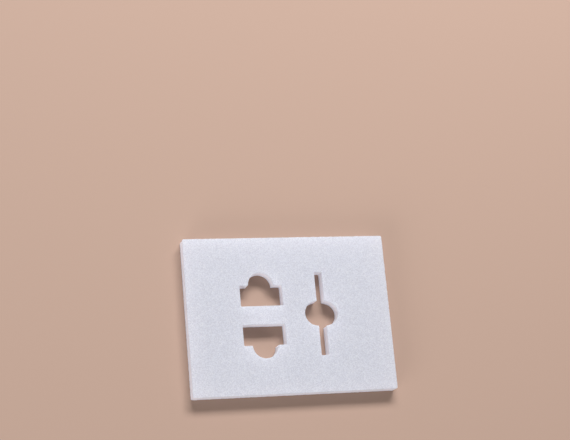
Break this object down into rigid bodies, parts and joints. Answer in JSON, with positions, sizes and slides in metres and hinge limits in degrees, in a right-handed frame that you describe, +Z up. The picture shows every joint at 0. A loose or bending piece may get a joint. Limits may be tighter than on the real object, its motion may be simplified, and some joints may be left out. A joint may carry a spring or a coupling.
{
  "type": "foam packaging insert",
  "caption": "Flat white foam slab that fills a shipping carton, cut right through with mirrored pockets that have finger scoops and a long slot with an oval finger hole.",
  "frame": {"origin": "middle of the slab's underside", "axes": "+X along the long side, towards the slot; +Y towards the back edge; +Z up through the slab's thickness"},
  "size_m": [0.25, 0.19, 0.016],
  "materials": {
    "foam": "matte closed-cell foam, finely pitted cut skin"
  },
  "bodies": {
    "root": {"foam_insert": "foam"}
  },
  "joints": []
}
